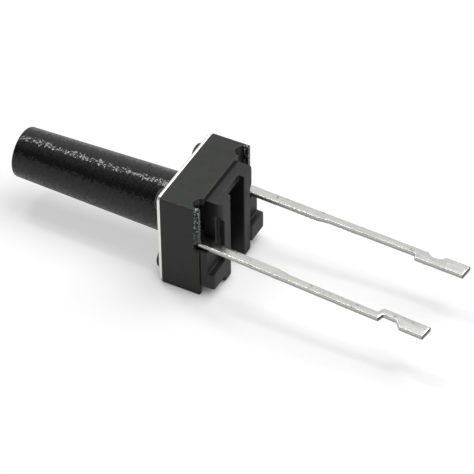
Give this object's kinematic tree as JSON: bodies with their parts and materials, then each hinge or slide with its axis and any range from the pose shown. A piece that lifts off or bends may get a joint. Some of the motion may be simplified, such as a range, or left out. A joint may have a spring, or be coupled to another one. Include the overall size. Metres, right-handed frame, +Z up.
{
  "type": "tactile push button switch",
  "caption": "Square through-hole tactile switch with a long tapered round stem, a steel cover plate and long flat leads.",
  "frame": {"origin": "under the middle of the bounding box, on the flat surface that the switch lies on", "axes": "+X runs from the tip of the button to the tips of the leads and is the stem's axis, +Y runs across the two leads toward the lead with the curved tip, +Z is up from the side that the switch lies on"},
  "size_m": [0.026, 0.0061, 0.0061],
  "materials": {
    "cover_plate": "tin-plated steel, satin",
    "housing": "black moulded plastic, fine grain",
    "base": "black moulded plastic, fine grain",
    "plunger": "black moulded plastic, slight sheen",
    "snap_dome": "bright spring steel",
    "terminals": "tin-plated, satin silver"
  },
  "bodies": {
    "switch": {"cover_plate": "cover_plate", "housing": "housing", "base": "base", "snap_dome": "snap_dome", "centre_terminal": "terminals", "outer_terminal": "terminals"},
    "button": {"plunger": "plunger"}
  },
  "joints": [
    {"name": "plunger_press", "type": "slide", "parent": "switch", "child": "button", "axis": [1, 0, 0], "range_m": [0, 0.00025], "stiffness_N_per_m": 3600, "springref_m": -0.00015, "deforming": ["snap_dome"]}
  ]
}
